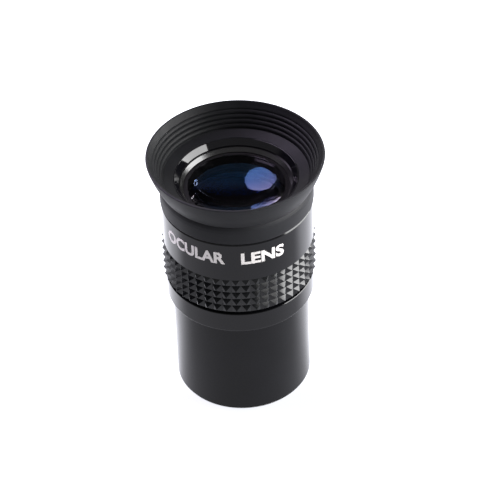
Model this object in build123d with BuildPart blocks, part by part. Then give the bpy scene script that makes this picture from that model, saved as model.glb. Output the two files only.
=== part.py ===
from build123d import *
import math
import os

# A 25 mm Ploessl telescope eyepiece that stands on the open end of its barrel.
# Origin: centre of the barrel's open end. +Z runs up the optical axis to the eye. Millimetres.

# ---------------------------------------------------------------- driving dimensions
# barrel
BARREL_R = 15.875  # the 1.25 inch focuser standard
BARREL_BORE_R = 13.6
BARREL_EDGE = 0.4
SHOULDER_Z = 25.9  # the housing's lower face, which rests on the focuser
FILTER_MINOR_R = 13.93  # M28.5 x 0.6 filter thread
FILTER_MAJOR_R = 14.25
FILTER_PITCH = 0.6
FILTER_TURNS = 6
FILTER_START_Z = 0.7

# thread between the barrel and the housing
BODY_PITCH = 0.75
BODY_TURNS = 5
BODY_CREST_R = 15.2
BODY_ROOT_R = 14.95
BODY_SPIGOT_TOP_Z = 30.4
THREAD_CLEARANCE = 0.05  # radial, crest to crest

# housing, from its lower face upwards
COLLAR_R = 17.15
COLLAR_TOP_Z = 31.06
COLLAR_TOP_CHAMFER = 0.12
COLLAR_LOW_ROUND = 0.35
GAP_R = 16.4  # the narrow neck between collar and grip
GRIP_LOW_Z = 31.65
GRIP_SEAT_R = 15.95
BAND_R = 17.28
BAND_LOW_Z = 41.45
BAND_TOP_Z = 52.19
BAND_TOP_CHAMFER = 0.6
NECK_R = 15.8  # carries the rubber eyecup
NECK_TOP_Z = 56.8
BEAD_R = 16.15
BEAD_Z = 54.4
BEAD_HALF = 0.5
LIP_R = 14.1  # rim that stands up inside the eyecup's hole
LIP_TOP_Z = 57.6
BEVEL_TOP_R = 13.95
BEVEL_LOW_R = 12.95
BEVEL_LOW_Z = 56.3
BEVEL_TOP_ROUND = 0.12
RELIEF_R = 14.8  # bore between the two inner threads
RELIEF_LOW_Z = 30.9
RELIEF_TOP_Z = 37.5

# rubber grip ring: pyramids in a straight grid
GRIP_TIP_R = 17.8
GRIP_VALLEY_R = 16.98
GRIP_COLUMNS = 48
GRIP_ROWS = 5
GRIP_LAND = 0.12  # the small flat on each pyramid

# rubber eyecup
CUP_SLEEVE_R = 17.45
CUP_SHOULDER_LOW_Z = 55.2  # the sleeve rounds in from here to the crease
CUP_SHOULDER_R = 17.36
CUP_SHOULDER_Z = 55.95
CUP_SLEEVE_TOP_R = 17.14
CUP_SLEEVE_TOP_Z = 56.5
CREASE_R = 17.0
CREASE_Z = 56.75
FLARE_LOW_R = 17.4
FLARE_LOW_Z = 57.15
FLARE_BULGE = 0.25  # how far the flare's outside stands out from a straight cone
RIM_R = 20.15
RIM_Z = 64.05
RIM_THICKNESS = 0.5
FOLD_Z = 58.6  # the flare turns down about this level
CUP_HOLE_R = 14.13
CUP_FLOOR_R = 16.5
CUP_FLOOR_Z = 58.35
RIB_LOW_R = 16.6
RIB_LOW_Z = 58.4
RIB_TOP_R = 18.6
RIB_TOP_Z = 62.4
RIB_COUNT = 4
RIB_BULGE = 0.2

# lens cell
CELL_R = 14.3
CELL_BORE_R = 12.8
CELL_LOW_Z = 37.0
CELL_TOP_Z = 55.93
CELL_LIP_R = 12.0  # clear aperture of the eye lens
CELL_LIP_LOW_Z = 54.96
CELL_CHAMFER_LOW_Z = 55.15
CELL_CHAMFER_TOP_R = 12.7
CELL_CREST_R = 14.55
CELL_THREAD_LOW_Z = 38.0
CELL_TURNS = 6
CELL_PITCH = 0.75
RING_THREAD_R = 12.95  # female thread in the cell's lower end
RING_THREAD_ROOT_R = 13.2
RING_THREAD_TOP_Z = 40.2
RING_PITCH = 0.5
RING_TURNS = 5

# lens elements: two cemented pairs, crowns facing each other
LENS_R = 12.75
OUTER_RADIUS = 60.0  # outside surfaces of the flints
CEMENT_RADIUS = 26.0
INNER_RADIUS = 36.0  # crown surfaces that face each other
CEMENT_GAP = 0.02
EYE_FLINT_APEX_Z = 56.1
EYE_CEMENT_APEX_Z = 54.5
EYE_CROWN_APEX_Z = 48.0
FIELD_CROWN_APEX_Z = 47.2
FIELD_CEMENT_APEX_Z = 40.7
FIELD_FLINT_APEX_Z = 39.1

# small rings
SPACER_BORE_R = 11.5
LOCK_RING_BORE_R = 11.6
LOCK_RING_LOW_Z = 37.4
LOCK_RING_TOP_Z = 40.15
SPANNER_SLOT_WIDTH = 1.2
SPANNER_SLOT_DEPTH = 0.8
STOP_APERTURE_R = 10.9
STOP_LOW_Z = 22.0
STOP_HEIGHT = 2.4
STOP_EDGE = 0.25  # height of the knife edge around the aperture

FIT = 0.02  # radial gap between fixed parts that are slipped or pressed together
PARTS_FOLDER = "parts"


# ---------------------------------------------------------------- helpers
def lathe_section(points):
    """A closed half section, given as (radius, height) corners."""
    with BuildSketch(Plane.XZ) as section:
        with BuildLine():
            Polyline(points, close=True)
        make_face()
    return section.sketch


def ring_grooves(crest_r, root_r, low_z, pitch, turns):
    """Half section of a thread drawn as plain ring grooves, with a flat crest between grooves."""
    flank = pitch * 0.35
    past_crest = crest_r + math.copysign(0.3, crest_r - root_r)
    with BuildSketch(Plane.XZ) as grooves:
        for turn in range(turns):
            z = low_z + (turn + 0.5) * pitch
            with BuildLine():
                Polyline(
                    (past_crest, z - flank),
                    (crest_r, z - flank),
                    (root_r, z - pitch * 0.05),
                    (root_r, z + pitch * 0.05),
                    (crest_r, z + flank),
                    (past_crest, z + flank),
                    close=True,
                )
            make_face()
    return grooves.sketch


def sag(curvature_radius, r):
    """Depth of a spherical surface at distance r from the axis."""
    return curvature_radius - math.sqrt(curvature_radius**2 - r**2)


def lens_section(low_apex_z, low_radius, top_apex_z, top_radius):
    """Half section of a lens; a positive radius curves upwards from its apex, a negative one downwards."""

    def height(apex_z, radius, r):
        return apex_z + math.copysign(sag(abs(radius), r), radius)

    low_edge = (LENS_R, height(low_apex_z, low_radius, LENS_R))
    low_middle = (LENS_R / 2, height(low_apex_z, low_radius, LENS_R / 2))
    top_edge = (LENS_R, height(top_apex_z, top_radius, LENS_R))
    top_middle = (LENS_R / 2, height(top_apex_z, top_radius, LENS_R / 2))
    with BuildSketch(Plane.XZ) as section:
        with BuildLine():
            ThreePointArc((0, low_apex_z), low_middle, low_edge)
            Line(low_edge, top_edge)
            ThreePointArc(top_edge, top_middle, (0, top_apex_z))
            Line((0, top_apex_z), (0, low_apex_z))
        make_face()
    return section.sketch


def flare_radius(z):
    """Outer radius of the eyecup's flare at height z."""
    share = (z - FLARE_LOW_Z) / (RIM_Z - FLARE_LOW_Z)
    return FLARE_LOW_R + share * (RIM_R - FLARE_LOW_R) + 4 * FLARE_BULGE * share * (1 - share)


def save(piece, name):
    piece.label = name
    export_step(piece, os.path.join(PARTS_FOLDER, name + ".step"))


os.makedirs(PARTS_FOLDER, exist_ok=True)

# ---------------------------------------------------------------- barrel
filter_thread_top_z = FILTER_START_Z + FILTER_TURNS * FILTER_PITCH
body_thread_low_z = BODY_SPIGOT_TOP_Z - 0.3 - BODY_TURNS * BODY_PITCH

with BuildPart() as barrel:
    barrel_section = [
        (FILTER_MINOR_R + 0.45, 0),
        (BARREL_R - BARREL_EDGE, 0),
        (BARREL_R, BARREL_EDGE),
        (BARREL_R, SHOULDER_Z - FIT),
        (BODY_ROOT_R, SHOULDER_Z - FIT),
        (BODY_ROOT_R, body_thread_low_z - 0.15),
        (BODY_CREST_R, body_thread_low_z),
        (BODY_CREST_R, BODY_SPIGOT_TOP_Z - 0.3),
        (BODY_CREST_R - 0.3, BODY_SPIGOT_TOP_Z),
        (BARREL_BORE_R, BODY_SPIGOT_TOP_Z),
        (BARREL_BORE_R, filter_thread_top_z + 0.5),
        (FILTER_MINOR_R, filter_thread_top_z + 0.2),
        (FILTER_MINOR_R, 0.45),
    ]
    revolve(lathe_section(barrel_section), axis=Axis.Z)
    filter_grooves = ring_grooves(
        FILTER_MINOR_R, FILTER_MAJOR_R, FILTER_START_Z, FILTER_PITCH, FILTER_TURNS
    )
    revolve(filter_grooves, axis=Axis.Z, mode=Mode.SUBTRACT)
    spigot_grooves = ring_grooves(
        BODY_CREST_R, BODY_ROOT_R, body_thread_low_z, BODY_PITCH, BODY_TURNS
    )
    revolve(spigot_grooves, axis=Axis.Z, mode=Mode.SUBTRACT)
save(barrel.part, "barrel")

# ---------------------------------------------------------------- field stop
stop_outer_r = BARREL_BORE_R - FIT

with BuildPart() as field_stop:
    stop_section = [
        (STOP_APERTURE_R, STOP_LOW_Z + STOP_HEIGHT - STOP_EDGE),
        (STOP_APERTURE_R + 1.2, STOP_LOW_Z),
        (stop_outer_r - 0.2, STOP_LOW_Z),
        (stop_outer_r, STOP_LOW_Z + 0.2),
        (stop_outer_r, STOP_LOW_Z + STOP_HEIGHT),
        (STOP_APERTURE_R, STOP_LOW_Z + STOP_HEIGHT),
    ]
    revolve(lathe_section(stop_section), axis=Axis.Z)
save(field_stop.part, "field_stop")

# ---------------------------------------------------------------- housing
body_female_r = BODY_CREST_R + THREAD_CLEARANCE
cell_female_r = CELL_CREST_R + THREAD_CLEARANCE
cell_seat_r = CELL_R + THREAD_CLEARANCE
cell_thread_top_z = CELL_THREAD_LOW_Z + CELL_TURNS * CELL_PITCH

with BuildPart() as housing:
    housing_section = [
        (body_female_r + 0.3, SHOULDER_Z),
        (COLLAR_R, SHOULDER_Z),
        (COLLAR_R, COLLAR_TOP_Z - COLLAR_TOP_CHAMFER),
        (COLLAR_R - COLLAR_TOP_CHAMFER, COLLAR_TOP_Z),
        (GAP_R, COLLAR_TOP_Z),
        (GAP_R, GRIP_LOW_Z),
        (GRIP_SEAT_R, GRIP_LOW_Z),
        (GRIP_SEAT_R, BAND_LOW_Z),
        (BAND_R - 0.1, BAND_LOW_Z),
        (BAND_R, BAND_LOW_Z + 0.1),
        (BAND_R, BAND_TOP_Z - BAND_TOP_CHAMFER),
        (BAND_R - BAND_TOP_CHAMFER, BAND_TOP_Z),
        (NECK_R, BAND_TOP_Z),
        (NECK_R, BEAD_Z - BEAD_HALF),
        (BEAD_R, BEAD_Z - BEAD_HALF),
        (BEAD_R, BEAD_Z),
        (NECK_R, BEAD_Z + BEAD_HALF),
        (NECK_R, NECK_TOP_Z - 0.2),
        (NECK_R - 0.2, NECK_TOP_Z),
        (LIP_R, NECK_TOP_Z),
        (LIP_R, LIP_TOP_Z),
        (BEVEL_TOP_R, LIP_TOP_Z),
        (BEVEL_LOW_R, BEVEL_LOW_Z),
        (BEVEL_LOW_R, CELL_TOP_Z + FIT),
        (cell_seat_r, CELL_TOP_Z + FIT),
        (cell_seat_r, cell_thread_top_z + 0.6),
        (cell_female_r, cell_thread_top_z + 0.3),
        (cell_female_r, RELIEF_TOP_Z + 0.2),
        (RELIEF_R, RELIEF_TOP_Z),
        (RELIEF_R, RELIEF_LOW_Z),
        (body_female_r, RELIEF_LOW_Z),
        (body_female_r, SHOULDER_Z + 0.3),
    ]
    revolve(lathe_section(housing_section), axis=Axis.Z)
    collar_grooves = ring_grooves(
        body_female_r,
        body_female_r + 0.25,
        body_thread_low_z,
        BODY_PITCH,
        BODY_TURNS,
    )
    revolve(collar_grooves, axis=Axis.Z, mode=Mode.SUBTRACT)
    cell_grooves = ring_grooves(
        cell_female_r,
        cell_female_r + 0.25,
        CELL_THREAD_LOW_Z,
        CELL_PITCH,
        CELL_TURNS,
    )
    revolve(cell_grooves, axis=Axis.Z, mode=Mode.SUBTRACT)
    lip_edges = housing.edges().filter_by(GeomType.CIRCLE).group_by(Axis.Z)[-1]
    fillet(lip_edges.sort_by(SortBy.RADIUS)[0], radius=BEVEL_TOP_ROUND)
    shoulder_edges = housing.edges().filter_by(GeomType.CIRCLE).group_by(Axis.Z)[0]
    fillet(shoulder_edges.sort_by(SortBy.RADIUS)[-1], radius=COLLAR_LOW_ROUND)
save(housing.part, "housing")

# ---------------------------------------------------------------- rubber grip ring
row_height = (BAND_LOW_Z - GRIP_LOW_Z) / GRIP_ROWS
column_half_width = math.pi * GRIP_TIP_R / GRIP_COLUMNS - GRIP_LAND / 2
flank_slope = column_half_width / (GRIP_TIP_R - GRIP_VALLEY_R)
cutter_reach = 0.4  # how far the groove cutter stands past the pyramids

with BuildPart() as grip_ring:
    grip_section = [(GRIP_SEAT_R + FIT, GRIP_LOW_Z + FIT)]
    for row in range(GRIP_ROWS):
        row_z = GRIP_LOW_Z + row * row_height
        grip_section += [
            (GRIP_VALLEY_R, max(row_z, GRIP_LOW_Z + FIT)),
            (GRIP_TIP_R, row_z + row_height / 2 - GRIP_LAND / 2),
            (GRIP_TIP_R, row_z + row_height / 2 + GRIP_LAND / 2),
        ]
    grip_section += [
        (GRIP_VALLEY_R, BAND_LOW_Z - FIT),
        (GRIP_SEAT_R + FIT, BAND_LOW_Z - FIT),
    ]
    revolve(lathe_section(grip_section), axis=Axis.Z)
    with BuildSketch(Plane.XY.offset(GRIP_LOW_Z - 1)) as column_grooves:
        with PolarLocations(0, GRIP_COLUMNS):
            mouth_half = column_half_width + cutter_reach * flank_slope
            with BuildLine():
                Polyline(
                    (GRIP_VALLEY_R, 0),
                    (GRIP_TIP_R + cutter_reach, -mouth_half),
                    (GRIP_TIP_R + cutter_reach, mouth_half),
                    close=True,
                )
            make_face()
    extrude(amount=BAND_LOW_Z - GRIP_LOW_Z + 2, mode=Mode.SUBTRACT)
save(grip_ring.part, "grip_ring")

# ---------------------------------------------------------------- rubber eyecup, part that stays
fold_inner_r = RIB_LOW_R + 0.1

with BuildPart() as eyecup_sleeve:
    sleeve_section = [
        (NECK_R + FIT, BAND_TOP_Z + FIT),
        (CUP_SLEEVE_R - 0.15, BAND_TOP_Z + FIT),
        (CUP_SLEEVE_R, BAND_TOP_Z + 0.17),
        (CUP_SLEEVE_R, CUP_SHOULDER_LOW_Z),
        (CUP_SHOULDER_R, CUP_SHOULDER_Z),
        (CUP_SLEEVE_TOP_R, CUP_SLEEVE_TOP_Z),
        (CREASE_R, CREASE_Z),
        (FLARE_LOW_R, FLARE_LOW_Z),
        (flare_radius(FLARE_LOW_Z + 0.7), FLARE_LOW_Z + 0.7),
        (flare_radius(FOLD_Z), FOLD_Z),
        (fold_inner_r, FOLD_Z),
        (RIB_LOW_R, RIB_LOW_Z),
        (CUP_FLOOR_R, CUP_FLOOR_Z),
        (CUP_HOLE_R, LIP_TOP_Z),
        (CUP_HOLE_R, NECK_TOP_Z + FIT),
        (NECK_R + FIT, NECK_TOP_Z + FIT),
        (NECK_R + FIT, BEAD_Z + BEAD_HALF + FIT),
        (BEAD_R + FIT, BEAD_Z + FIT),
        (BEAD_R + FIT, BEAD_Z - BEAD_HALF - FIT),
        (NECK_R + FIT, BEAD_Z - BEAD_HALF - FIT),
    ]
    revolve(lathe_section(sleeve_section), axis=Axis.Z)
save(eyecup_sleeve.part, "eyecup_sleeve")

# ---------------------------------------------------------------- rubber eyecup, part that folds
rib_pitch = (RIB_TOP_Z - RIB_LOW_Z) / RIB_COUNT
rib_lean = math.atan2(RIB_TOP_R - RIB_LOW_R, RIB_TOP_Z - RIB_LOW_Z)


def rib_point(z, inwards=0.0):
    """A point on the line through the rib grooves, or that far inside it."""
    r = RIB_LOW_R + (z - RIB_LOW_Z) * math.tan(rib_lean)
    return (r - inwards * math.cos(rib_lean), z + inwards * math.sin(rib_lean))


with BuildPart() as eyecup_flare:
    with BuildSketch(Plane.XZ) as flare_section:
        with BuildLine():
            lip_z = RIM_Z - RIM_THICKNESS / 2
            lip_outer = (RIM_R, lip_z)
            lip_inner = (RIM_R - RIM_THICKNESS, lip_z)
            flare_middle_z = (FOLD_Z + lip_z) / 2
            ThreePointArc(
                (flare_radius(FOLD_Z), FOLD_Z + FIT),
                (flare_radius(flare_middle_z), flare_middle_z),
                lip_outer,
            )
            ThreePointArc(lip_outer, (RIM_R - RIM_THICKNESS / 2, RIM_Z), lip_inner)
            Line(lip_inner, rib_point(RIB_TOP_Z))
            for rib in range(RIB_COUNT, 1, -1):
                rib_z = RIB_LOW_Z + rib * rib_pitch
                ThreePointArc(
                    rib_point(rib_z),
                    rib_point(rib_z - rib_pitch / 2, RIB_BULGE),
                    rib_point(rib_z - rib_pitch),
                )
            lowest_rib_top = rib_point(RIB_LOW_Z + rib_pitch)
            fold_inner = (fold_inner_r, FOLD_Z + FIT)
            lowest_rib_middle = rib_point(RIB_LOW_Z + rib_pitch * 0.6, RIB_BULGE)
            ThreePointArc(lowest_rib_top, lowest_rib_middle, fold_inner)
            Line(fold_inner, (flare_radius(FOLD_Z), FOLD_Z + FIT))
        make_face()
    revolve(axis=Axis.Z)
save(eyecup_flare.part, "eyecup_flare")

# ---------------------------------------------------------------- lens cell
with BuildPart() as lens_cell:
    cell_section = [
        (RING_THREAD_R, CELL_LOW_Z + 0.3),
        (RING_THREAD_R + 0.3, CELL_LOW_Z),
        (CELL_R - 0.3, CELL_LOW_Z),
        (CELL_R, CELL_LOW_Z + 0.3),
        (CELL_R, CELL_THREAD_LOW_Z - 0.25),
        (CELL_CREST_R, CELL_THREAD_LOW_Z),
        (CELL_CREST_R, cell_thread_top_z),
        (CELL_R, cell_thread_top_z + 0.25),
        (CELL_R, CELL_TOP_Z - 0.2),
        (CELL_R - 0.2, CELL_TOP_Z),
        (CELL_CHAMFER_TOP_R, CELL_TOP_Z),
        (CELL_LIP_R, CELL_CHAMFER_LOW_Z),
        (CELL_LIP_R, CELL_LIP_LOW_Z),
        (CELL_BORE_R, CELL_LIP_LOW_Z),
        (CELL_BORE_R, RING_THREAD_TOP_Z + 0.2),
        (RING_THREAD_R, RING_THREAD_TOP_Z),
    ]
    revolve(lathe_section(cell_section), axis=Axis.Z)
    outside_grooves = ring_grooves(
        CELL_CREST_R, CELL_R, CELL_THREAD_LOW_Z, CELL_PITCH, CELL_TURNS
    )
    revolve(outside_grooves, axis=Axis.Z, mode=Mode.SUBTRACT)
    inside_grooves = ring_grooves(
        RING_THREAD_R,
        RING_THREAD_ROOT_R,
        RING_THREAD_TOP_Z - 0.2 - RING_TURNS * RING_PITCH,
        RING_PITCH,
        RING_TURNS,
    )
    revolve(inside_grooves, axis=Axis.Z, mode=Mode.SUBTRACT)
save(lens_cell.part, "lens_cell")

# ---------------------------------------------------------------- lens elements
with BuildPart() as eye_lens_flint:
    eye_flint_section = lens_section(
        EYE_CEMENT_APEX_Z + CEMENT_GAP, -CEMENT_RADIUS, EYE_FLINT_APEX_Z, -OUTER_RADIUS
    )
    revolve(eye_flint_section, axis=Axis.Z)
save(eye_lens_flint.part, "eye_lens_flint")

with BuildPart() as eye_lens_crown:
    eye_crown_section = lens_section(
        EYE_CROWN_APEX_Z, INNER_RADIUS, EYE_CEMENT_APEX_Z, -CEMENT_RADIUS
    )
    revolve(eye_crown_section, axis=Axis.Z)
save(eye_lens_crown.part, "eye_lens_crown")

with BuildPart() as field_lens_crown:
    field_crown_section = lens_section(
        FIELD_CEMENT_APEX_Z, CEMENT_RADIUS, FIELD_CROWN_APEX_Z, -INNER_RADIUS
    )
    revolve(field_crown_section, axis=Axis.Z)
save(field_lens_crown.part, "field_lens_crown")

with BuildPart() as field_lens_flint:
    field_flint_section = lens_section(
        FIELD_FLINT_APEX_Z,
        OUTER_RADIUS,
        FIELD_CEMENT_APEX_Z - CEMENT_GAP,
        CEMENT_RADIUS,
    )
    revolve(field_flint_section, axis=Axis.Z)
save(field_lens_flint.part, "field_lens_flint")

# ---------------------------------------------------------------- spacer between the lens pairs
with BuildPart() as lens_spacer:
    contact_sag = sag(INNER_RADIUS, SPACER_BORE_R)
    spacer_low_z = FIELD_CROWN_APEX_Z - contact_sag + FIT
    spacer_top_z = EYE_CROWN_APEX_Z + contact_sag - FIT
    spacer_section = [
        (SPACER_BORE_R, spacer_low_z),
        (LENS_R - 0.1, spacer_low_z),
        (LENS_R, spacer_low_z + 0.1),
        (LENS_R, spacer_top_z - 0.1),
        (LENS_R - 0.1, spacer_top_z),
        (SPACER_BORE_R, spacer_top_z),
    ]
    revolve(lathe_section(spacer_section), axis=Axis.Z)
save(lens_spacer.part, "lens_spacer")

# ---------------------------------------------------------------- slotted ring that holds the lenses
lock_ring_r = RING_THREAD_R - THREAD_CLEARANCE

with BuildPart() as lens_lock_ring:
    lock_section = [
        (LOCK_RING_BORE_R + 0.3, LOCK_RING_LOW_Z),
        (lock_ring_r - 0.2, LOCK_RING_LOW_Z),
        (lock_ring_r, LOCK_RING_LOW_Z + 0.2),
        (lock_ring_r, LOCK_RING_TOP_Z),
        (LOCK_RING_BORE_R, LOCK_RING_TOP_Z),
        (LOCK_RING_BORE_R, LOCK_RING_LOW_Z + 0.3),
    ]
    revolve(lathe_section(lock_section), axis=Axis.Z)
    with BuildSketch(Plane.XY.offset(LOCK_RING_LOW_Z)):
        Rectangle(2 * BARREL_R, SPANNER_SLOT_WIDTH)
    extrude(amount=SPANNER_SLOT_DEPTH, mode=Mode.SUBTRACT)
save(lens_lock_ring.part, "lens_lock_ring")
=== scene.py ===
import math

import bmesh
import bpy
from mathutils import Matrix, Vector


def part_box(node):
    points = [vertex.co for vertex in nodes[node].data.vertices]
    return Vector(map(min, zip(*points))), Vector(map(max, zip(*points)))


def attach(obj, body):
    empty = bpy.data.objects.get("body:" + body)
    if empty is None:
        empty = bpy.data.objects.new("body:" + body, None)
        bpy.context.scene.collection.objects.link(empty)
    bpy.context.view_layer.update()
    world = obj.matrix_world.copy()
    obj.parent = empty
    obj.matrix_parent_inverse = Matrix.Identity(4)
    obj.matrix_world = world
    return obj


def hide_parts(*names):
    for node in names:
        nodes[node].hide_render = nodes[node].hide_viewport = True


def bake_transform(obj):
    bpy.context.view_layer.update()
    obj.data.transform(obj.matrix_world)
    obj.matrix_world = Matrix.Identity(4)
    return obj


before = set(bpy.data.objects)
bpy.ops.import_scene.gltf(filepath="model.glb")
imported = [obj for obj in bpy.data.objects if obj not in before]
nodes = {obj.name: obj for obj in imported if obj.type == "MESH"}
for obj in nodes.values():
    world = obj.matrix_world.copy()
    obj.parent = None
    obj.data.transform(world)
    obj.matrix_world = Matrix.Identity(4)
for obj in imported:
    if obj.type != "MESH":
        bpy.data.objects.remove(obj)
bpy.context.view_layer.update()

# Looks of a telescope eyepiece. The CAD frame stands on z = 0 with +Z up its optical axis.
# The object's lengths are in millimetres here and become metres through MM.
# Camera, floor and lights are placed in metres.
MM = 0.001

TURN = 2 * math.pi


def extent_mm(node):
    """A node's outer radius, lowest level and highest level in millimetres."""
    low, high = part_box(node)
    return high.x / MM, low.z / MM, high.z / MM


# ------------------------------------------------------------------ camera
CAMERA_YAW = math.radians(0.353)
CAMERA_PITCH = math.radians(-40.756)
CAMERA_ROLL = math.radians(-2.229)
CAMERA_PLACE = (0.0, -0.402415, 0.382395)  # m
CAMERA_LENS = 165.6  # mm
CAMERA_SENSOR = 36.0  # mm


def make_camera():
    """The camera fitted to the photo's ellipses, with its slight roll."""
    forward = Vector(
        (
            math.sin(CAMERA_YAW) * math.cos(CAMERA_PITCH),
            math.cos(CAMERA_YAW) * math.cos(CAMERA_PITCH),
            math.sin(CAMERA_PITCH),
        )
    )
    level_right = Vector((math.cos(CAMERA_YAW), -math.sin(CAMERA_YAW), 0))
    level_up = level_right.cross(forward)
    right = math.cos(CAMERA_ROLL) * level_right + math.sin(CAMERA_ROLL) * level_up
    up = math.cos(CAMERA_ROLL) * level_up - math.sin(CAMERA_ROLL) * level_right
    data = bpy.data.cameras.new("camera")
    data.lens = CAMERA_LENS
    data.sensor_width = CAMERA_SENSOR
    data.clip_start = 0.01
    data.clip_end = 50.0
    camera = bpy.data.objects.new("camera", data)
    turn = Matrix((right, up, -forward)).transposed()
    camera.matrix_world = Matrix.Translation(CAMERA_PLACE) @ turn.to_4x4()
    bpy.context.scene.collection.objects.link(camera)
    bpy.context.scene.camera = camera


make_camera()


# ------------------------------------------------------------------ materials
NOISE_LOW = 0.3  # most of a noise's values lie between these two
NOISE_HIGH = 0.7
TURNED_STRETCH = (0.02, 0.02, 1)  # draws noise out sideways into fine lines round the axis
GLASS_TINTS = ((0.93, 0.95, 0.98), (0.97, 0.98, 1.0))


def new_material(name):
    """A material with its node tree and its shader."""
    material = bpy.data.materials.new(name)
    material.use_nodes = True
    tree = material.node_tree
    shader = tree.nodes["Principled BSDF"]
    return material, tree, shader


def object_position(tree, scale=(1, 1, 1)):
    """Position in the piece's own frame, stretched by scale."""
    place = tree.nodes.new("ShaderNodeTexCoord")
    stretch = tree.nodes.new("ShaderNodeMapping")
    stretch.inputs["Scale"].default_value = scale
    tree.links.new(place.outputs["Object"], stretch.inputs["Vector"])
    return stretch.outputs["Vector"]


def noise(tree, position, size_mm, detail):
    """Noise whose largest features are about size_mm wide."""
    node = tree.nodes.new("ShaderNodeTexNoise")
    node.inputs["Scale"].default_value = 1 / (size_mm * MM)
    node.inputs["Detail"].default_value = detail
    tree.links.new(position, node.inputs["Vector"])
    return node.outputs["Fac"]


def ramp(tree, value, low, high):
    """Turns a noise into values between low and high."""
    node = tree.nodes.new("ShaderNodeMapRange")
    node.inputs["From Min"].default_value = NOISE_LOW
    node.inputs["From Max"].default_value = NOISE_HIGH
    node.inputs["To Min"].default_value = low
    node.inputs["To Max"].default_value = high
    tree.links.new(value, node.inputs["Value"])
    return node.outputs["Result"]


def two_colours(tree, value, low, high):
    """Turns a noise into colours between low and high."""
    node = tree.nodes.new("ShaderNodeMix")
    node.data_type = "RGBA"
    node.inputs["A"].default_value = (*low, 1)
    node.inputs["B"].default_value = (*high, 1)
    tree.links.new(ramp(tree, value, 0, 1), node.inputs["Factor"])
    return node.outputs["Result"]


def bump(tree, value, height_mm, strength):
    """A normal for a surface that value raises by up to height_mm."""
    node = tree.nodes.new("ShaderNodeBump")
    node.inputs["Strength"].default_value = strength
    node.inputs["Distance"].default_value = height_mm * MM
    tree.links.new(value, node.inputs["Height"])
    return node.outputs["Normal"]


def cloudy_coat(tree, shader, clouds, colour, roughness, ior, lighter, smoother, rougher):
    """Sets a shader's looks. Its colour and roughness vary a little with the clouds."""
    light_colour = tuple(c * lighter for c in colour)
    tree.links.new(two_colours(tree, clouds, colour, light_colour), shader.inputs["Base Color"])
    tree.links.new(ramp(tree, clouds, roughness - smoother, roughness + rougher), shader.inputs["Roughness"])
    shader.inputs["IOR"].default_value = ior


def satin_metal(name, colour, roughness, ior):
    """Black anodised metal: fine turning lines round the axis and a faint cloudiness."""
    material, tree, shader = new_material(name)
    clouds = noise(tree, object_position(tree), size_mm=9.0, detail=4.0)
    lines = noise(tree, object_position(tree, TURNED_STRETCH), size_mm=0.09, detail=2.0)
    cloudy_coat(tree, shader, clouds, colour, roughness, ior, lighter=1.5, smoother=0.03, rougher=0.04)
    tree.links.new(bump(tree, lines, height_mm=0.002, strength=0.5), shader.inputs["Normal"])
    return material


def gloss_enamel(name, colour, roughness, ior):
    """Smooth black enamel with a very faint orange peel."""
    material, tree, shader = new_material(name)
    peel = noise(tree, object_position(tree), size_mm=0.8, detail=2.0)
    clouds = noise(tree, object_position(tree), size_mm=6.0, detail=3.0)
    cloudy_coat(tree, shader, clouds, colour, roughness, ior, lighter=1.4, smoother=0.02, rougher=0.03)
    tree.links.new(bump(tree, peel, height_mm=0.002, strength=0.4), shader.inputs["Normal"])
    return material


def rubber(name, colour, roughness, ior, grain_mm=0.12, grain_height_mm=0.006):
    """Moulded rubber: fine grain from the mould and slightly uneven bloom."""
    material, tree, shader = new_material(name)
    bloom = noise(tree, object_position(tree), size_mm=5.0, detail=5.0)
    grain = noise(tree, object_position(tree), size_mm=grain_mm, detail=2.0)
    cloudy_coat(tree, shader, bloom, colour, roughness, ior, lighter=1.35, smoother=0.05, rougher=0.05)
    tree.links.new(bump(tree, grain, grain_height_mm, strength=0.35), shader.inputs["Normal"])
    return material


def coated_glass(name, ior, film_nm, film_ior=1.38):
    """Optical glass with an anti-reflection film. The film's thickness sets the reflection's tint."""
    material, tree, shader = new_material(name)
    haze = noise(tree, object_position(tree), size_mm=2.0, detail=2.0)
    tree.links.new(two_colours(tree, haze, *GLASS_TINTS), shader.inputs["Base Color"])
    shader.inputs["Roughness"].default_value = 0.0
    shader.inputs["IOR"].default_value = ior
    shader.inputs["Transmission Weight"].default_value = 1.0
    shader.inputs["Thin Film Thickness"].default_value = film_nm
    shader.inputs["Thin Film IOR"].default_value = film_ior
    return material


def printed_ink(name, colour):
    """Matte white printing with a slightly uneven coat."""
    material, tree, shader = new_material(name)
    coat = noise(tree, object_position(tree), size_mm=0.35, detail=3.0)
    thinner = tuple(c * 0.86 for c in colour)
    tree.links.new(two_colours(tree, coat, thinner, colour), shader.inputs["Base Color"])
    shader.inputs["Roughness"].default_value = 0.5
    return material


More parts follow.
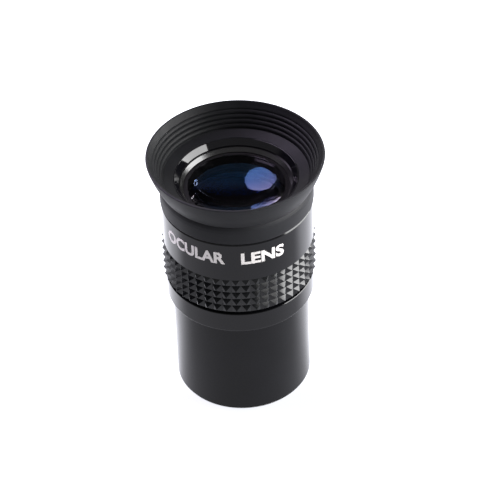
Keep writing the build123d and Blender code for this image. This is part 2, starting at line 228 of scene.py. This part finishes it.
# Name, colour, roughness and refractive index, then a rubber's grain width and height in millimetres.
# A glass has its refractive index, its film's thickness in nanometres and the film's index.
# The first glass of each pair is its top face, the second its underside.
MATERIALS = {
    "barrel": satin_metal("satin_black_anodised", (0.0018, 0.0018, 0.0024), 0.15, 1.28),
    "housing": gloss_enamel("gloss_black_enamel", (0.0018, 0.0018, 0.0024), 0.07, 1.35),
    "cell": satin_metal("satin_black_cell", (0.006, 0.006, 0.006), 0.2, 1.5),
    "inside": satin_metal("dull_black_inside", (0.006, 0.006, 0.0065), 0.6, 1.3),
    "eyecup": rubber("eyecup_rubber", (0.007, 0.0072, 0.0084), 0.55, 1.24),
    # Painted shade: the cup's inner faces take a darker, less shiny copy of the eyecup rubber.
    "eyecup_painted_shade": rubber("eyecup_rubber_painted_shade", (0.003, 0.0032, 0.0037), 0.5, 1.19),
    "grip": rubber("grip_rubber", (0.002, 0.0022, 0.0027), 0.2, 1.38, 0.1, 0.003),
    "eye_front": coated_glass("coated_glass_eye_front", 1.52, 125.0),
    "eye_back": coated_glass("coated_glass_eye_back", 1.55, 208.0, 1.37),
    "field_front": coated_glass("coated_glass_field_front", 1.5, 142.0, 1.225),
    "field_back": coated_glass("coated_glass_field_back", 1.5, 222.0, 1.225),
    # Black for the lenses' edges, and painted shade on the outer rings of their faces.
    "lens_edge_and_painted_shade": satin_metal("black_lens_rim_with_painted_shade", (0.004, 0.004, 0.004), 0.7, 1.2),
    "ink": printed_ink("white_print", (0.58, 0.555, 0.54)),
}

# The CAD pieces that stay as they are, and the finish that each takes.
CAD_FINISHES = {
    "barrel": "barrel",
    "housing": "housing",
    "lens_cell": "cell",
    "lens_lock_ring": "inside",
    "lens_spacer": "inside",
    "field_stop": "inside",
}


def paint(piece, material):
    """Gives every slot of a piece one material."""
    if not piece.material_slots:
        piece.data.materials.append(material)
    for slot in piece.material_slots:
        slot.material = material


for node_name, finish in CAD_FINISHES.items():
    paint(nodes[node_name], MATERIALS[finish])


# ------------------------------------------------------------------ mesh helpers
ON_AXIS = 1e-6  # mm, a smaller radius is a point on the axis
CORNER_SHARE = 0.45  # of an edge, the most that rounding one of its corners takes


def add_piece(name, mesh, material, body=None, sharp_angle=40.0):
    """Links a finished mesh as a piece, smooth except at edges sharper than sharp_angle degrees."""
    mesh.polygons.foreach_set("use_smooth", [True] * len(mesh.polygons))
    mesh.set_sharp_from_angle(angle=math.radians(sharp_angle))
    piece = bpy.data.objects.new(name, mesh)
    bpy.context.scene.collection.objects.link(piece)
    piece.data.materials.append(material)
    if body:
        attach(piece, body)
    return piece


def vertex_ring(bm, r, z, segments):
    """A ring of vertices about Z, in metres."""
    angles = [TURN * k / segments for k in range(segments)]
    return [bm.verts.new((r * math.cos(angle), r * math.sin(angle), z)) for angle in angles]


def turned_mesh(name, outline, segments):
    """A body of revolution about Z from an outline of (radius, height) in millimetres.

    The outline is closed, or starts and ends on the axis, where it gets poles.
    """
    bm = bmesh.new()
    rings = []
    for r, z in outline:
        if r < ON_AXIS:
            rings.append([bm.verts.new((0, 0, z * MM))])
        else:
            rings.append(vertex_ring(bm, r * MM, z * MM, segments))
    pairs = list(zip(rings, rings[1:]))
    if outline[0][0] > ON_AXIS and outline[-1][0] > ON_AXIS:
        pairs.append((rings[-1], rings[0]))
    for lower, upper in pairs:
        for k in range(segments):
            after = (k + 1) % segments
            if len(lower) == 1:
                bm.faces.new((lower[0], upper[after], upper[k]))
            elif len(upper) == 1:
                bm.faces.new((lower[k], lower[after], upper[0]))
            else:
                bm.faces.new((lower[k], lower[after], upper[after], upper[k]))
    bmesh.ops.recalc_face_normals(bm, faces=bm.faces)
    mesh = bpy.data.meshes.new(name)
    bm.to_mesh(mesh)
    bm.free()
    return mesh


def rounded(outline, steps=4):
    """A closed outline of (radius, height, corner's rounding) in millimetres, with its corners rounded."""
    result = []
    count = len(outline)
    for i in range(count):
        corner = Vector(outline[i][:2])
        before = Vector(outline[i - 1][:2]) - corner
        after = Vector(outline[(i + 1) % count][:2]) - corner
        wanted = outline[i][2]
        if wanted <= 0:
            result.append(tuple(corner))
            continue
        turn = before.angle(after)
        shorter = min(before.length, after.length)
        cut = min(wanted / math.tan(turn / 2), CORNER_SHARE * shorter)
        start = corner + before.normalized() * cut
        end = corner + after.normalized() * cut
        for step in range(steps + 1):
            t = step / steps
            point = start.lerp(corner, t).lerp(corner.lerp(end, t), t)
            result.append((point.x, point.y))
    return result


def arc_points(start, middle, end, steps):
    """Points on a shallow curve from start through middle to end, without the last one."""
    control = 2 * Vector(middle) - (Vector(start) + Vector(end)) / 2
    points = []
    for step in range(steps):
        t = step / steps
        point = Vector(start).lerp(control, t).lerp(control.lerp(Vector(end), t), t)
        points.append((point.x, point.y, 0))
    return points


# ------------------------------------------------------------------ eyecup
# Outline points are radius, height and the corner's rounding, in millimetres.
SLEEVE_R = 17.45
SHOULDER_OUTLINE = ((SLEEVE_R, 55.2, 0.5), (17.36, 55.95, 0.4), (17.14, 56.5, 0.2), (17.0, 56.75, 0.05))
FLARE_LOW_R = 17.4
FLARE_LOW_Z = 57.15
FLARE_BULGE = 0.25  # how far the flare's outside stands out from a straight cone
FLARE_STEPS = 16
RIM_THICKNESS = 0.5
RIM_OUTER_DROP = 0.15  # from the rim's top to its outer edge
WALL_TOP_STEP = 0.05  # inwards and down from the rim's inner edge to the wall below it
WALL_TOP_DROP = 0.12
# Share of the way down that wall to the uppermost rib, and how far the wall stands out there.
WALL_BULGES = ((0.25, 0.03), (0.5, 0.07), (0.72, 0.12), (0.86, 0.13), (0.95, 0.07))
RIB_COUNT = 4
RIB_STEPS = 8
RIB_BULGE = 0.2
RIB_LOW = (16.6, 58.4)
RIB_TOP = (18.6, 62.4)
CUP_FLOOR_EDGE = (16.55, 58.37, 0.12)
CUP_HOLE_R = 14.13
HOUSING_LIP_Z = 57.6
NECK_R = 15.82
NECK_TOP_Z = 56.82
EYECUP_SEGMENTS = 256


def rib_outline():
    """The ribbed part of the eyecup's inner wall, downwards: round ribs with sharp grooves between."""
    low, top = Vector(RIB_LOW), Vector(RIB_TOP)
    along = (low - top) / RIB_COUNT
    inwards = Vector((along.y, -along.x)).normalized() * RIB_BULGE
    points = []
    for rib in range(RIB_COUNT):
        start = top + along * rib
        end = start + along
        points += arc_points(start, (start + end) / 2 + inwards, end, RIB_STEPS)
    return points


def eyecup_outline():
    """The eyecup's section: up its outside, over the rim, down the ribs and back along the neck."""
    sleeve_low_z = extent_mm("eyecup_sleeve")[1]
    rim_r, _, rim_z = extent_mm("eyecup_flare")
    outline = [
        (NECK_R, sleeve_low_z, 0.05),
        (SLEEVE_R, sleeve_low_z, 0.18),
        *SHOULDER_OUTLINE,
        (FLARE_LOW_R, FLARE_LOW_Z, 0.25),
    ]
    low = Vector((FLARE_LOW_R, FLARE_LOW_Z))
    rim = Vector((rim_r, rim_z - RIM_OUTER_DROP))
    for step in range(1, FLARE_STEPS):
        share = step / FLARE_STEPS
        point = low.lerp(rim, share)
        outline.append((point.x + 4 * FLARE_BULGE * share * (1 - share), point.y, 0))
    outline += [(rim.x, rim.y, 0.2), (rim_r - RIM_THICKNESS, rim_z, 0.22)]
    wall_top = Vector((rim_r - RIM_THICKNESS - WALL_TOP_STEP, rim_z - WALL_TOP_DROP))
    for share, bulge in WALL_BULGES:
        point = wall_top.lerp(Vector(RIB_TOP), share)
        outline.append((point.x - bulge, point.y + bulge / 2, 0))
    outline += rib_outline()
    outline += [
        CUP_FLOOR_EDGE,
        (CUP_HOLE_R, HOUSING_LIP_Z, 0.12),
        (CUP_HOLE_R, NECK_TOP_Z, 0.05),
        (NECK_R, NECK_TOP_Z, 0.05),
    ]
    return rounded(outline)


def make_eyecup():
    """One rubber cup over both CAD parts, with painted shade inside: its inner faces take a darker, less
    shiny copy of the rubber.
    """
    mesh = turned_mesh("rubber_eyecup", eyecup_outline(), EYECUP_SEGMENTS)
    piece = add_piece("rubber_eyecup", mesh, MATERIALS["eyecup"], sharp_angle=35.0)
    piece.data.materials.append(MATERIALS["eyecup_painted_shade"])
    # Faces that look inwards, into the cup, take the painted shade.
    for polygon in mesh.polygons:
        outwards = polygon.normal.x * polygon.center.x + polygon.normal.y * polygon.center.y
        if outwards < 0:
            polygon.material_index = 1
    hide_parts("eyecup_sleeve", "eyecup_flare")
    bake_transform(piece)


make_eyecup()

# ------------------------------------------------------------------ grip ring
GRIP_COLUMNS = 48
GRIP_ROWS = 5
GRIP_VALLEY_R = 16.8
GRIP_INNER_R = 15.97
GRIP_BEVEL = 0.04  # rounding of the moulded edges
GRIP_EDGE_ANGLE = 15.0  # degrees, sharper edges are rounded


def make_grip():
    """A sleeve whose outside is a straight grid of four-sided pyramids."""
    tip_r, low_z, high_z = extent_mm("grip_ring")
    row_height = (high_z - low_z) / GRIP_ROWS
    bm = bmesh.new()

    def point(r, column, z):
        angle = TURN * column / GRIP_COLUMNS - math.pi / 2
        return bm.verts.new((r * MM * math.cos(angle), r * MM * math.sin(angle), z * MM))

    def ring(r, z, shift=0.0):
        return [point(r, column + shift, z) for column in range(GRIP_COLUMNS)]

    valleys = [ring(GRIP_VALLEY_R, low_z + row * row_height) for row in range(GRIP_ROWS + 1)]
    for row in range(GRIP_ROWS):
        tips = ring(tip_r, low_z + (row + 0.5) * row_height, 0.5)
        for k in range(GRIP_COLUMNS):
            after = (k + 1) % GRIP_COLUMNS
            corners = [valleys[row][k], valleys[row][after], valleys[row + 1][after], valleys[row + 1][k]]
            for side in range(4):
                bm.faces.new((corners[side], corners[(side + 1) % 4], tips[k]))
    inside = [ring(GRIP_INNER_R, low_z), ring(GRIP_INNER_R, high_z)]
    for k in range(GRIP_COLUMNS):
        after = (k + 1) % GRIP_COLUMNS
        bm.faces.new((inside[0][k], inside[1][k], inside[1][after], inside[0][after]))
        bm.faces.new((inside[0][k], inside[0][after], valleys[0][after], valleys[0][k]))
        bm.faces.new((inside[1][k], valleys[-1][k], valleys[-1][after], inside[1][after]))
    bmesh.ops.recalc_face_normals(bm, faces=bm.faces)
    sharp = math.radians(GRIP_EDGE_ANGLE)
    bmesh.ops.bevel(
        bm,
        geom=[e for e in bm.edges if len(e.link_faces) == 2 and e.calc_face_angle() > sharp],
        offset=GRIP_BEVEL * MM,
        segments=2,
        profile=0.5,
        affect="EDGES",
        clamp_overlap=True,
    )
    mesh = bpy.data.meshes.new("knurled_grip")
    bm.to_mesh(mesh)
    bm.free()
    piece = add_piece("knurled_grip", mesh, MATERIALS["grip"], "head", sharp_angle=60.0)
    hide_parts("grip_ring")


make_grip()

# ------------------------------------------------------------------ lenses
LENS_R = 12.75
LENS_EDGE_CHAMFER = 0.15
OUTER_CURVE = 60.0  # radius of the faces at the ends of the lens stack
INNER_CURVE = 36.0  # radius of the faces towards the spacer
EYE_CLEAR_TOP_R = 11.25  # outside these three radii a face is black: painted shade that keeps glints out of the glass
EYE_CLEAR_LOW_R = 10.4
FIELD_CLEAR_R = 11.9
LENS_STEPS = 56
LENS_SEGMENTS = 240


def lens_face(apex_z, curve, upwards):
    """Points of a spherical face from its apex out to the lens's edge, upwards or downwards."""
    points = []
    for step in range(LENS_STEPS + 1):
        r = (LENS_R - LENS_EDGE_CHAMFER) * step / LENS_STEPS
        depth = curve - math.sqrt(curve**2 - r**2)
        points.append((r, apex_z + depth if upwards else apex_z - depth))
    return points


def make_doublet(name, replaced, top_face, low_face):
    """A cemented pair drawn as one glass body with a blackened edge, and with painted shade on its faces
    outside their clear radii, which keeps glints out of the glass.

    A face is its apex's height, its curve, its clear radius and its glass.
    """
    top_z, top_curve, clear_top_r, top_glass = top_face
    low_z, low_curve, clear_low_r, low_glass = low_face
    bottom = lens_face(low_z, low_curve, upwards=True)
    top = lens_face(top_z, top_curve, upwards=False)
    edge = [(LENS_R, bottom[-1][1] + LENS_EDGE_CHAMFER), (LENS_R, top[-1][1] - LENS_EDGE_CHAMFER)]
    mesh = turned_mesh(name, bottom + edge + top[::-1], LENS_SEGMENTS)
    piece = add_piece(name, mesh, MATERIALS[top_glass], "optics", sharp_angle=30.0)
    piece.data.materials.append(MATERIALS[low_glass])
    piece.data.materials.append(MATERIALS["lens_edge_and_painted_shade"])
    middle = (bottom[-1][1] + top[-1][1]) / 2 * MM
    for polygon in mesh.polygons:
        rim = max(mesh.vertices[v].co.to_2d().length for v in polygon.vertices) / MM
        # Outside its clear radius a face is painted black: painted shade that keeps glints out of the glass.
        if rim > (clear_top_r if polygon.center.z > middle else clear_low_r):
            polygon.material_index = 2
        elif polygon.center.z < middle:
            polygon.material_index = 1
    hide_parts(*replaced)


def make_lenses():
    """Both pairs, with their flatter faces outwards."""
    eye_top_z = extent_mm("eye_lens_flint")[2]
    eye_low_z = extent_mm("eye_lens_crown")[1]
    field_top_z = extent_mm("field_lens_crown")[2]
    field_low_z = extent_mm("field_lens_flint")[1]
    make_doublet(
        "eye_doublet",
        ("eye_lens_flint", "eye_lens_crown"),
        top_face=(eye_top_z, OUTER_CURVE, EYE_CLEAR_TOP_R, "eye_front"),
        low_face=(eye_low_z, INNER_CURVE, EYE_CLEAR_LOW_R, "eye_back"),
    )
    make_doublet(
        "field_doublet",
        ("field_lens_flint", "field_lens_crown"),
        top_face=(field_top_z, INNER_CURVE, FIELD_CLEAR_R, "field_front"),
        low_face=(field_low_z, OUTER_CURVE, FIELD_CLEAR_R, "field_back"),
    )


make_lenses()

# ------------------------------------------------------------------ lettering on the band
BAND_R = 17.28
LETTER_WORDS = (("OCULAR", -65, -11), ("LENS", 1, 35))  # from and to in degrees, 0 is the front
LETTER_HEIGHT = 3.05  # of a capital
LETTER_BASE_Z = 46.45
LETTER_PROUD = 0.03  # how far the ink stands out of the band, and reaches into it
LETTER_BOLDER = 0.036  # letters grow outwards by this, in font units
LETTER_DEPTH = 0.01  # half of a letter's depth before it is wrapped, in font units
STRIP = 0.35  # width of the strips that follow the band's curve


def flat_word(word):
    """A bmesh of a word in font units, lying flat."""
    curve = bpy.data.curves.new("lettering", "FONT")
    curve.body = word
    curve.size = 1.0
    curve.offset = LETTER_BOLDER
    curve.extrude = LETTER_DEPTH
    curve.resolution_u = 6
    text = bpy.data.objects.new("lettering_text", curve)
    bpy.context.scene.collection.objects.link(text)
    bpy.context.view_layer.update()
    flat = bpy.data.meshes.new_from_object(text.evaluated_get(bpy.context.evaluated_depsgraph_get()))
    bpy.data.objects.remove(text)
    bm = bmesh.new()
    bm.from_mesh(flat)
    return bm


def wrapped_word(word, first, last, capital):
    """A mesh of a word wrapped round the band between two angles. capital is a capital's flat height."""
    bm = flat_word(word)
    left = min(v.co.x for v in bm.verts)
    right = max(v.co.x for v in bm.verts)
    start = math.radians(first)
    span = math.radians(last - first)
    strips = int(span * BAND_R / STRIP)
    for strip in range(1, strips):
        at = left + (right - left) * strip / strips
        bmesh.ops.bisect_plane(
            bm,
            geom=list(bm.verts) + list(bm.edges) + list(bm.faces),
            plane_co=(at, 0, 0),
            plane_no=(1, 0, 0),
        )
    for v in bm.verts:
        angle = start + span * (v.co.x - left) / (right - left)
        r = BAND_R + (LETTER_PROUD if v.co.z > 0 else -LETTER_PROUD)
        z = LETTER_BASE_Z + v.co.y / capital * LETTER_HEIGHT
        v.co = Vector((r * math.sin(angle), -r * math.cos(angle), z)) * MM
    bmesh.ops.recalc_face_normals(bm, faces=bm.faces)
    mesh = bpy.data.meshes.new("word")
    bm.to_mesh(mesh)
    bm.free()
    return mesh


def make_lettering():
    """Generic printed lettering on the band, as thin raised ink."""
    sample = flat_word("L")
    capital = max(v.co.y for v in sample.verts)
    sample.free()
    whole = bmesh.new()
    for word, first, last in LETTER_WORDS:
        whole.from_mesh(wrapped_word(word, first, last, capital))
    mesh = bpy.data.meshes.new("band_lettering")
    whole.to_mesh(mesh)
    whole.free()
    add_piece("band_lettering", mesh, MATERIALS["ink"], "head")


make_lettering()

# ------------------------------------------------------------------ floor
FLOOR_DARK_R = 0.0155  # m, under the barrel
FLOOR_RINGS = (0.0135, FLOOR_DARK_R, 0.06, 0.5, 2.0, 6.0)  # m, radii
FLOOR_SEGMENTS = 96
FLOOR_DROP = 0.0002  # m, keeps the floor off the barrel's foot
FLOOR_FRONT_RADIANCE = 0.9
FLOOR_BACK_RADIANCE = 2.1
FLOOR_CHANGE_Y = 0.012  # m, either side of the axis, where the front's glow becomes the back's


def pale_floor():
    """The floor's glowing material, brighter behind the object than in front."""
    material, tree, shader = new_material("pale_floor")
    shader.inputs["Base Color"].default_value = (0.08, 0.08, 0.08, 1)
    shader.inputs["Roughness"].default_value = 0.9
    shader.inputs["Specular IOR Level"].default_value = 0.0
    shader.inputs["Emission Color"].default_value = (0.97, 0.98, 1.05, 1)
    place = tree.nodes.new("ShaderNodeTexCoord")
    parts = tree.nodes.new("ShaderNodeSeparateXYZ")
    tree.links.new(place.outputs["Object"], parts.inputs["Vector"])
    glow = tree.nodes.new("ShaderNodeMapRange")
    glow.interpolation_type = "SMOOTHSTEP"
    glow.inputs["From Min"].default_value = -FLOOR_CHANGE_Y
    glow.inputs["From Max"].default_value = FLOOR_CHANGE_Y
    glow.inputs["To Min"].default_value = FLOOR_FRONT_RADIANCE
    glow.inputs["To Max"].default_value = FLOOR_BACK_RADIANCE
    tree.links.new(parts.outputs["Y"], glow.inputs["Value"])
    tree.links.new(glow.outputs["Result"], shader.inputs["Emission Strength"])
    return material


def make_floor():
    """A pale light table. It is dark under the barrel, so that no light comes up through the lenses."""
    bm = bmesh.new()
    rings = [vertex_ring(bm, r, 0, FLOOR_SEGMENTS) for r in FLOOR_RINGS]
    bm.faces.new(rings[0])
    for inner, outer in zip(rings, rings[1:]):
        for k in range(FLOOR_SEGMENTS):
            after = (k + 1) % FLOOR_SEGMENTS
            bm.faces.new((inner[k], outer[k], outer[after], inner[after]))
    mesh = bpy.data.meshes.new("floor")
    bm.to_mesh(mesh)
    bm.free()
    floor = bpy.data.objects.new("floor", mesh)
    floor.location.z = -FLOOR_DROP
    bpy.context.scene.collection.objects.link(floor)
    dark, _, dark_shader = new_material("floor_under_barrel")
    dark_shader.inputs["Base Color"].default_value = (0.3, 0.3, 0.3, 1)
    mesh.materials.append(pale_floor())
    mesh.materials.append(dark)
    for polygon in mesh.polygons:
        if polygon.center.length < FLOOR_DARK_R:
            polygon.material_index = 1


make_floor()

# ------------------------------------------------------------------ lights and surroundings
LIGHT_TARGET = Vector((0, 0, 0.045))  # m
PANEL_DISTANCE = 0.9  # m, from the target


def soft_panel(name, azimuth, elevation, width, height, radiance, colour=(1, 1, 1), disk=False):
    """An area light that faces the object. Its radiance is what a mirror would show.

    Azimuth 0 is behind the object (+Y), 90 to its right (+X). Width and height are in metres.
    """
    a, e = math.radians(azimuth), math.radians(elevation)
    out = Vector((math.sin(a) * math.cos(e), math.cos(a) * math.cos(e), math.sin(e)))
    data = bpy.data.lights.new(name, "AREA")
    data.shape = "ELLIPSE" if disk else "RECTANGLE"
    data.size = width
    data.size_y = height
    area = width * height * (math.pi / 4 if disk else 1)
    data.energy = radiance * area * math.pi
    data.color = colour
    lamp = bpy.data.objects.new(name, data)
    lamp.location = LIGHT_TARGET + out * PANEL_DISTANCE
    lamp.rotation_euler = out.to_track_quat("Z", "Y").to_euler()
    lamp.visible_camera = False
    bpy.context.scene.collection.objects.link(lamp)


soft_panel("right_panel", azimuth=93, elevation=18, width=1.0, height=0.62, radiance=18.0)
soft_panel("front_right_panel", azimuth=140, elevation=9, width=0.55, height=0.26, radiance=4.0)
soft_panel(
    "sky_panel",
    azimuth=-60,
    elevation=53,
    width=0.76,
    height=0.72,
    radiance=10.0,
    colour=(0.9, 0.78, 1.04),
    disk=True,
)

# The world's parts fade in or out between two values of a direction's Y or Z part.
DOME_RADIANCE = 0.45
DOME_FADE_IN_Z = (0.3, 0.42)
DOME_FADE_OUT_Y = (0.65, 0.4)
HORIZON_RADIANCE = 4.0
HORIZON_FADE_IN_Y = (0.4, 0.7)
HORIZON_FADE_OUT_Z = (0.47, 0.4)
ROOM_RADIANCE = 0.03


def make_world():
    """White to the camera. Reflections show a dim dome overhead and a bright low horizon behind."""
    world = bpy.data.worlds.new("studio")
    world.use_nodes = True
    bpy.context.scene.world = world
    tree = world.node_tree
    tree.nodes.clear()
    direction = tree.nodes.new("ShaderNodeTexCoord")
    parts = tree.nodes.new("ShaderNodeSeparateXYZ")
    tree.links.new(direction.outputs["Generated"], parts.inputs["Vector"])

    def fade(axis, span, height=1.0):
        """Goes smoothly from 0 to height while a direction's axis part goes through span."""
        node = tree.nodes.new("ShaderNodeMapRange")
        node.interpolation_type = "SMOOTHSTEP"
        node.inputs["From Min"].default_value = span[0]
        node.inputs["From Max"].default_value = span[1]
        node.inputs["To Max"].default_value = height
        tree.links.new(parts.outputs[axis], node.inputs["Value"])
        return node.outputs["Result"]

    def combine(operation, first, second):
        """The result of a sum or product. A value is an output or a plain number."""
        node = tree.nodes.new("ShaderNodeMath")
        node.operation = operation
        for socket, value in zip(node.inputs, (first, second)):
            if isinstance(value, float):
                socket.default_value = value
            else:
                tree.links.new(value, socket)
        return node.outputs["Value"]

    dome = combine("MULTIPLY", fade("Z", DOME_FADE_IN_Z, DOME_RADIANCE), fade("Y", DOME_FADE_OUT_Y))
    behind = fade("Y", HORIZON_FADE_IN_Y, HORIZON_RADIANCE)
    horizon = combine("MULTIPLY", behind, fade("Z", HORIZON_FADE_OUT_Z))
    total = combine("ADD", combine("ADD", dome, horizon), ROOM_RADIANCE)
    lit = tree.nodes.new("ShaderNodeBackground")
    tree.links.new(total, lit.inputs["Strength"])
    seen = tree.nodes.new("ShaderNodeBackground")
    seen.inputs["Color"].default_value = (1, 1, 1, 1)
    path = tree.nodes.new("ShaderNodeLightPath")
    mix = tree.nodes.new("ShaderNodeMixShader")
    tree.links.new(path.outputs["Is Camera Ray"], mix.inputs["Fac"])
    tree.links.new(lit.outputs["Background"], mix.inputs[1])
    tree.links.new(seen.outputs["Background"], mix.inputs[2])
    output = tree.nodes.new("ShaderNodeOutputWorld")
    tree.links.new(mix.outputs["Shader"], output.inputs["Surface"])


make_world()
bpy.context.scene.view_settings.view_transform = "Standard"
